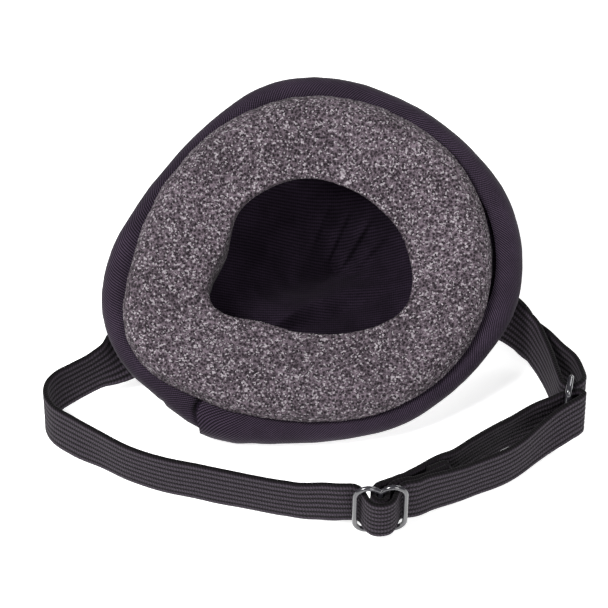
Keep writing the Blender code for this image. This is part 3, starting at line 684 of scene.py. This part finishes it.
def binding(finish):
    """Twill tape rolled over the shell's edge: its raised end laps the tucked one, past a dark notch."""
    turn = np.linspace(0.0, TAU + LAP_LENGTH, BINDING_STATIONS)
    share = np.linspace(0, 1, 25)
    slant = LAP_SLANT * (1 - ramp(share, 0.10, 0.45)) * (1 - ramp(turn, 0.0, 0.20))[:, None]
    raised = (1 - ramp(turn, LAP_LENGTH, LAP_LENGTH + 0.12))[:, None]
    angles = LAP_ANGLE + turn[:, None] - slant

    def skin(extra):
        """Outer or inner face of the tape, from its front edge round to its back edge."""
        columns = []
        for inset, height in BINDING_FRONT:
            angle = angles[:, len(columns)]
            rho = rho_of_radius(angle, closed_radius(RIM_RADII, angle) - inset * MM)
            columns.append(wall_point(angle, rho, height * MM - extra))
        for bend in np.radians(np.linspace(80, -80, 15)):
            angle = angles[:, len(columns)]
            radius = closed_radius(RIM_RADII, angle)
            edge_point = wall_middle(angle, 1.0)
            out = unit(in_rim_frame(radius * np.cos(angle), radius * np.sin(angle), 0.0) - edge_point)
            reach = (EDGE_INSET + 0.9 * MM - extra) * math.cos(bend)
            rise = (2.55 * MM - extra) * math.sin(bend)
            columns.append(edge_point - out * 0.7 * MM + out * reach + AXIS_N * rise)
        for inset, height in BINDING_BACK:
            angle = angles[:, len(columns)]
            rho = rho_of_radius(angle, closed_radius(RIM_RADII, angle) - inset * MM)
            columns.append(wall_point(angle, rho, height * MM + extra))
        return np.stack(columns, axis=1)

    outer = skin(0.0)
    inner = skin(TAPE_THICKNESS)
    normal = unit(outer - inner)
    front = 1 - ramp(share, 0.25, 0.85)
    bulge = LAP_BULGE * hump(turn, 0.10)[:, None] * front
    lift = LAP_LIFT * raised + bulge
    tucked = (turn > math.pi)[:, None]
    to_lap = turned(angles, LAP_ANGLE - LAP_SLANT * (1 - ramp(share, 0.10, 0.45)))
    lift = lift - NOTCH_DEPTH * ramp(to_lap, -0.050, -0.008) * tucked * (1 - ramp(share, 0.20, 0.50))
    pucker = 0.16 * MM * hump(turned(angles, math.radians(229.0)), 0.035) * front
    pucker += -0.22 * MM * hump(turned(angles, math.radians(227.2)), 0.018) * ramp(share, 0.0, 0.3)
    softness = 0.10 * MM * lumps(outer, 6 * MM, 41) + 0.05 * MM * lumps(outer, 2 * MM, 42)
    free = ramp(share, 0.10, 0.30) * (1 - ramp(share, 0.85, 0.95))
    shift = (lift + pucker + softness * free)[..., None] * normal
    outer = outer + shift
    inner = inner + shift
    points = np.concatenate([outer, inner[:, ::-1]], axis=1)
    width = np.concatenate([[0], np.cumsum(np.linalg.norm(np.diff(outer[0], axis=0), axis=1))])
    width = np.concatenate([width, width[::-1], [0.0]])
    length = np.concatenate([[0], np.cumsum(np.linalg.norm(np.diff(outer[:, 12], axis=0), axis=1))])
    uv = np.stack(np.meshgrid(length, width, indexing="ij"), -1)
    return surface("rim_binding", points, finish, closed=(False, True), uv=uv, capped=True)


# ---------------------------------------------------------------------------
# Elastic.

RIB_COUNT = 8
RIB_STEPS = 6
RIB_HEIGHT = 0.09 * MM
ELASTIC_SPACING = 0.5 * MM
EDGE_ROUNDING = 0.025


def slider_axes():
    """Along the strap, forward, and up the centre bar of the leaning slider."""
    along = np.array([math.cos(SLIDER_HEADING), math.sin(SLIDER_HEADING), 0.0])
    forward = np.array([along[1], -along[0], 0.0])
    up = np.array([0.0, 0.0, 1.0]) * math.cos(SLIDER_LEAN) + forward * math.sin(SLIDER_LEAN)
    return along, unit(np.cross(along, up)), up


def in_slider(points):
    """Route through the slider, marked with a 1 for upright along its bar."""
    along, out, up = slider_axes()
    return [(*(SLIDER_CENTRE / MM + along * s + out * f + up * lift), 0.0, 1.0) for s, f, lift in points]


def free_run(points):
    """Route away from the slider, marked with a 0 for its own roll."""
    return [(*point, 0.0) for point in points]


def spline(points, spacing):
    """Centripetal Catmull-Rom curve through rows of numbers, whose first three are a place in millimetres."""
    points = np.array(points, float)
    chain = np.concatenate([[2 * points[0] - points[1]], points, [2 * points[-1] - points[-2]]])
    route = []
    for k in range(1, len(chain) - 2):
        p = chain[k - 1:k + 3]
        gaps = np.sqrt(np.maximum(np.linalg.norm(np.diff(p[:, :3], axis=0), axis=1), 1e-6))
        t1, t2, t3 = np.cumsum(gaps)
        count = max(1, round(float(np.linalg.norm(p[2, :3] - p[1, :3])) * MM / spacing))
        for t in t1 + (t2 - t1) * np.arange(count) / count:
            a1 = p[0] * (t1 - t) / t1 + p[1] * t / t1
            a2 = (p[1] * (t2 - t) + p[2] * (t - t1)) / (t2 - t1)
            a3 = (p[2] * (t3 - t) + p[3] * (t - t2)) / (t3 - t2)
            b1 = (a1 * (t2 - t) + a2 * t) / t2
            b2 = (a2 * (t3 - t) + a3 * (t - t1)) / (t3 - t1)
            route.append((b1 * (t2 - t) + b2 * (t - t1)) / (t2 - t1))
    route.append(points[-1])
    return np.array(route)


class Ribbon:
    """A whole length of elastic, worked out once and then cut into pieces that meet exactly."""

    def __init__(self, points, seed):
        route = spline(points, ELASTIC_SPACING)
        self.centre = route[:, :3] * MM
        self.along = unit(np.gradient(self.centre, axis=0))
        upright = np.array([0.0, 0.0, 1.0]) - self.along * self.along[:, 2:3]
        upright = unit(upright)
        roll = np.radians(route[:, 3:4])
        rolled = upright * np.cos(roll) + np.cross(self.along, upright) * np.sin(roll)
        held = np.clip(route[:, 4:5], 0, 1)
        bar = slider_axes()[2]
        bar = unit(bar - self.along * (self.along @ bar)[:, None])
        self.across = unit(rolled * (1 - held) + bar * held)
        self.through = np.cross(self.along, self.across)
        distance = np.linalg.norm(self.centre - SLIDER_CENTRE, axis=1)
        gather = SQUEEZE * (1 - np.clip((distance - SQUEEZE_FROM) / (SQUEEZE_TO - SQUEEZE_FROM), 0, 1))
        self.width = STRAP_WIDTH - gather * held[:, 0]
        self.length = np.concatenate([[0], np.cumsum(np.linalg.norm(np.diff(self.centre, axis=0), axis=1))])
        self.seed = seed

    def near(self, place):
        """Index of the station nearest to a place given in millimetres."""
        return int(np.argmin(np.linalg.norm(self.centre - np.array(place) * MM, axis=1)))

    def section(self):
        """Ribbed outline: places across the width, and the surface's height at each."""
        share = np.linspace(-0.5, 0.5, RIB_COUNT * RIB_STEPS + 1)
        rib = np.abs(np.sin(math.pi * (share + 0.5) * RIB_COUNT)) ** 0.4
        deep = 0.55 + 0.45 * hashed(np.stack([np.floor((share + 0.5) * RIB_COUNT + 0.5)] * 3, -1), self.seed)
        level = STRAP_THICKNESS / 2 - RIB_HEIGHT * (1 - rib) * 1.5 * deep
        round_off = ramp(0.5 - np.abs(share), 0.0, EDGE_ROUNDING)
        level = level * (0.45 + 0.55 * round_off)
        return share, level

    def cut(self, name, first, last, finish):
        """The piece between two stations, as a closed ribbed strip."""
        pick = slice(first, last + 1)
        share, level = self.section()
        centre, across, through = (a[pick][:, None] for a in (self.centre, self.across, self.through))
        width = self.width[pick][:, None, None]
        face = centre + across * (share[None, :, None] * width)
        wave = 0.10 * MM * lumps(face, 6 * MM, self.seed)[..., None]
        front = face + through * (level[None, :, None] + wave)
        back = face - through * (level[None, :, None] - wave)
        points = np.concatenate([front, back[:, ::-1]], axis=1)
        flat = np.concatenate([share, share[::-1], share[:1]]) * STRAP_WIDTH + STRAP_WIDTH / 2
        uv = np.stack(np.meshgrid(self.length[pick], flat, indexing="ij"), -1)
        return surface(name, points, finish, closed=(False, True), uv=uv, capped=True, sharp=65)


def elastic_pieces(finish):
    """The long strap, cut where its bodies change, and the tab that holds the ring."""
    long_strap = Ribbon(
        free_run(LEFT_END + SIDE_RUN + FEED_LEFT) + in_slider(SLIDER_PASS)
        + free_run(FEED_RIGHT + FRONT_RUN + RETURN_RUN) + in_slider(END_LOOP), 7)
    leg = (SLIDER_LENGTH / 2 - WIRE_RADIUS) / MM
    left_leg, right_leg = (long_strap.near(in_slider([(s, -1.7, 0.0)])[0][:3]) for s in (-leg, leg))
    left_seam = long_strap.near((-13.0, -32.2, 5.03))
    right_seam = long_strap.near((38.2, -23.4, 5.05))
    ring_seam = long_strap.near((44.2, -13.7, 6.2))
    end_seam = long_strap.near(in_slider([END_LOOP[0]])[0][:3])
    last = len(long_strap.centre) - 1

    side = long_strap.cut("elastic_side", 0, left_seam, finish)
    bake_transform(side)
    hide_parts("strap_left_end", "strap_side_run")
    feed_left = long_strap.cut("elastic_feed_left", left_seam, left_leg, finish)
    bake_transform(feed_left)
    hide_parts("strap_feed_left")
    middle = long_strap.cut("elastic_over_bar", left_leg, right_leg, finish)
    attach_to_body(middle, "slider_carriage")
    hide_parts("strap_in_slider")
    feed_right = long_strap.cut("elastic_feed_right", right_leg, right_seam, finish)
    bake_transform(feed_right)
    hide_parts("strap_feed_right")
    front = long_strap.cut("elastic_front", right_seam, ring_seam, finish)
    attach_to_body(front, "strap")
    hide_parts("strap_front_run")
    back = long_strap.cut("elastic_return", ring_seam, end_seam, finish)
    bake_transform(back)
    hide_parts("strap_return_run")
    end = long_strap.cut("elastic_end", end_seam, last, finish)
    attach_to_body(end, "slider_carriage")
    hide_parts("strap_end_loop")

    tab = Ribbon(free_run(TAB_INNER_END + TAB_LOOP + TAB_OUTER_END), 9)
    tab_piece = tab.cut("elastic_tab", 0, len(tab.centre) - 1, finish)
    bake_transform(tab_piece)
    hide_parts("tab_inner_end", "tab_outer_end", "tab_loop")
    return long_strap, tab


# ---------------------------------------------------------------------------
# Sewing.

BARTACK_WIDTH = 8 * MM
BARTACK_SPAN = 1.5 * MM
BARTACK_TURNS = 16
SEAM_INSET = 3.9 * MM
SEAM_HEIGHT = -2.42 * MM
STITCH_PITCH = 2.1 * MM
STITCH_RADIUS = 0.12 * MM
STITCH_SHARE = 0.66


def zigzag(name, ribbon, station, side, width, span, turns, finish):
    """Dense zigzag bartack across an elastic, as one thread."""
    steps = np.linspace(0, 1, turns * 8 + 1)
    swing = np.abs((steps * turns) % 1.0 * 2 - 1) * 2 - 1
    centre, along, across, through = (
        a[station] for a in (ribbon.centre, ribbon.along, ribbon.across, ribbon.through))
    lift = STRAP_THICKNESS / 2 + 0.12 * MM
    path = centre + (steps - 0.5)[:, None] * width * across + (swing * span / 2)[:, None] * along
    path = path + through * side * (lift - 0.10 * MM * np.abs(swing) ** 6)[:, None]
    return tube(name, path, 0.13 * MM, finish, sides=6, side=through)


def running_stitch(name, line, normal, pitch, finish):
    """Row of stitches along a line of points: each one humps out of the cloth and dives back in."""
    distance = np.concatenate([[0], np.cumsum(np.linalg.norm(np.diff(line, axis=0), axis=1))])
    count = int(distance[-1] / pitch)
    parts = []
    for k in range(count):
        places = (k + STITCH_SHARE * np.linspace(0, 1, 7)) * pitch
        path = np.stack([np.interp(places, distance, line[:, j]) for j in range(3)], -1)
        out = np.stack([np.interp(places, distance, normal[:, j]) for j in range(3)], -1)
        path = path + out * (np.sin(np.linspace(0, math.pi, 7)) * 0.16 * MM - 0.05 * MM)[:, None]
        parts.append(tube("stitch", path, STITCH_RADIUS, finish, sides=6, side=unit(out).mean(axis=0)))
    return joined(name, parts, finish)


# ---------------------------------------------------------------------------
# Wire.


def arc(x, y, radius, start, stop, steps):
    """Points on a circle's arc, between two angles in degrees."""
    turn = np.radians(np.linspace(start, stop, steps + 1))
    return np.stack([x + radius * np.cos(turn), y + radius * np.sin(turn)], -1)


def even_loop(points, spacing):
    """A closed outline resampled evenly, with its corners eased."""
    loop = np.concatenate([points, points[:1]])
    distance = np.concatenate([[0], np.cumsum(np.linalg.norm(np.diff(loop, axis=0), axis=1))])
    places = np.arange(0, distance[-1], spacing)
    even = np.stack([np.interp(places, distance, loop[:, j]) for j in range(loop.shape[1])], -1)
    for _turn in range(3):
        even = 0.5 * even + 0.25 * (np.roll(even, 1, 0) + np.roll(even, -1, 0))
    return even


def slider_wire(finish):
    """Figure-of-eight slider of bent wire, with its centre bar welded in."""
    along, out, up = slider_axes()
    half = SLIDER_LENGTH / 2 - WIRE_RADIUS
    radius = half / 2
    high = SLIDER_HEIGHT / 2 - WIRE_RADIUS
    lobe = arc(half - radius, high - radius, radius, 0, 145, 24)
    dip = np.array([[0.0, high - SLIDER_NOTCH]])
    top = np.concatenate([lobe, dip, lobe[::-1] * (-1, 1)])
    outline = even_loop(np.concatenate([top, -top]), 0.15 * MM)
    frame_path = SLIDER_CENTRE + outline[:, :1] * along + outline[:, 1:] * up
    wire = tube("slider_frame", frame_path, WIRE_RADIUS, finish, closed=True, sides=20, side=out)
    reach = high - SLIDER_NOTCH + 0.1 * MM
    steps = np.linspace(-1, 1, 60)
    weld = 1 + 0.18 * ramp(np.abs(steps), 0.90, 0.98)
    bar_path = SLIDER_CENTRE + (steps * reach)[:, None] * up
    bar = tube("slider_bar", bar_path, 0.96 * WIRE_RADIUS * weld, finish, sides=20, side=out)
    return joined("slider_wire", [wire, bar], finish)


def ring_wire(finish):
    """Rounded rectangular wire ring, standing on edge."""
    along = np.array([math.sin(RING_HEADING), math.cos(RING_HEADING), 0.0])
    up = np.array([0.0, 0.0, 1.0])
    half = RING_LENGTH / 2 - RING_WIRE_RADIUS - RING_CORNER
    high = RING_HEIGHT / 2 - RING_WIRE_RADIUS - RING_CORNER
    corners = ((0, half, high), (90, -half, high), (180, -half, -high), (270, half, -high))
    outline = np.concatenate([arc(x, y, RING_CORNER, start, start + 90, 12) for start, x, y in corners])
    outline = even_loop(outline, 0.15 * MM)
    path = RING_CENTRE + outline[:, :1] * along + outline[:, 1:] * up
    return tube("ring_wire", path, RING_WIRE_RADIUS, finish, closed=True, sides=20, side=np.cross(along, up))


# ---------------------------------------------------------------------------
# Assembly.

CAMERA_DISTANCE = 0.600
CAMERA_HEIGHT = math.radians(42.0)
FLOOR_GLOW = 0.70
TENT_GLOW = 0.18
LINING_TONES = ((0.0004, 0.0002, 0.0006), (0.022, 0.0145, 0.0265))
COVER_TONES = ((0.010, 0.009, 0.011), (0.050, 0.046, 0.054))


def attach(piece, body, slot, *nodes):
    """Lets a piece ride a body and hides the imported nodes that it stands for; its slot is not used."""
    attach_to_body(piece, body)
    if nodes:
        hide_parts(*nodes)
    return piece


def build_patch(thread):
    foam = attach(foam_ring(foam_material()), "patch", "charcoal_foam", "foam_ring")
    knit = knit_material("black_knit_lining", *LINING_TONES, 0.55 * MM, 0.01)
    lining = dome("lining", (1.1 * MM, 0.7 * MM), knit, lining_shape)
    attach(lining, "patch", "knit_lining", "inner_lining")
    jersey = knit_material("black_knit_cover", *COVER_TONES, 0.50 * MM, 0.3)
    cover = dome("cover", (-1.3 * MM, -0.7 * MM), jersey, cover_shape)
    attach(cover, "patch", "knit_cover", "outer_cover")
    attach(binding(tape_material()), "patch", "binding_tape", "edge_binding")

    angle = np.linspace(0, TAU, 720)
    radius = closed_radius(RIM_RADII, angle)
    rho = rho_of_radius(angle, radius - SEAM_INSET)
    line = wall_point(angle, rho, SEAM_HEIGHT)
    deeper = wall_point(angle, rho, SEAM_HEIGHT - 1 * MM)
    seam = running_stitch("binding_stitches", line, unit(deeper - line), STITCH_PITCH, thread)
    attach(seam, "patch", "thread", "binding_stitching")

    for node, finish in (("stiffening_core", core_material()), ("foam_adhesive", adhesive_material())):
        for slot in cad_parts[node].material_slots:
            slot.material = finish


def build_strap(thread):
    long_strap, tab = elastic_pieces(elastic_material())
    size = (BARTACK_WIDTH, BARTACK_SPAN, BARTACK_TURNS)
    left_place = long_strap.near((-31.0, 4.4, 10.4))
    left = zigzag("left_bartack_thread", long_strap, left_place, 1, *size, thread)
    attach(left, "patch", "thread", "left_bartack")
    right = zigzag("tab_bartack_thread", tab, tab.near((28.1, 10.9, 11.6)), 1, *size, thread)
    attach(right, "patch", "thread", "tab_bartack")
    hem_place = in_slider([(8.0, -7.3, -2.0)])[0][:3]
    hem = zigzag("hem_thread", long_strap, long_strap.near(hem_place), 1, 8 * MM, 1.2 * MM, 14, thread)
    attach(hem, "slider_carriage", "thread", "strap_end_bartack")


def build_wire():
    finish = wire_material()
    attach(slider_wire(finish), "slider", "coated_wire", "slider")
    attach(ring_wire(finish), "ring", "coated_wire", "ring")


def area_light(name, place, target, size, power):
    data = bpy.data.lights.new(name, "AREA")
    data.shape = "DISK"
    data.size = size
    data.energy = power
    light = bpy.data.objects.new(name, data)
    light.location = place
    light.rotation_euler = (Vector(target) - Vector(place)).to_track_quat("-Z", "Y").to_euler()
    bpy.context.scene.collection.objects.link(light)


def studio():
    """Pale floor in a light tent, a main light from the upper left, and the camera."""
    bpy.ops.mesh.primitive_plane_add(size=6.0, location=(0, 0, -0.0001))
    floor = bpy.context.object
    floor.name = "floor"
    paper = Nodes("white_paper")
    tooth = paper.noise(paper.place(), 3 * MM, 3.0)
    paper.finish((0.93, 0.93, 0.93, 1.0), 0.9, paper.bump(tooth, 0.02 * MM, 0.3),
                 Emission_Color=(1.0, 1.0, 1.0, 1.0), Emission_Strength=FLOOR_GLOW)
    floor.data.materials.append(paper.material)

    world = bpy.data.worlds.new("tent")
    bpy.context.scene.world = world
    world.use_nodes = True
    world.node_tree.nodes["Background"].inputs["Color"].default_value = (1.0, 1.0, 1.0, 1.0)
    world.node_tree.nodes["Background"].inputs["Strength"].default_value = TENT_GLOW
    target = (0.0, 0.01, 0.02)
    area_light("main", (-0.30, -0.25, 0.50), target, 0.20, 4.4)
    area_light("front", (0.30, -0.50, 0.35), target, 0.30, 2.0)
    area_light("rim", (0.30, 0.45, 0.35), target, 0.30, 1.0)
    bpy.context.scene.view_settings.view_transform = "Standard"
    bpy.context.scene.view_settings.look = "None"

    camera_data = bpy.data.cameras.new("camera")
    camera_data.lens = 179.4
    camera_data.sensor_width = 36.0
    camera = bpy.data.objects.new("camera", camera_data)
    aim = Vector((-0.002, 0.0245, 0.0))
    camera.location = aim + CAMERA_DISTANCE * Vector((0, -math.cos(CAMERA_HEIGHT), math.sin(CAMERA_HEIGHT)))
    camera.rotation_euler = (aim - camera.location).to_track_quat("-Z", "Y").to_euler()
    bpy.context.scene.collection.objects.link(camera)
    bpy.context.scene.camera = camera


def main():
    thread = thread_material()
    build_patch(thread)
    build_strap(thread)
    build_wire()
    studio()


main()
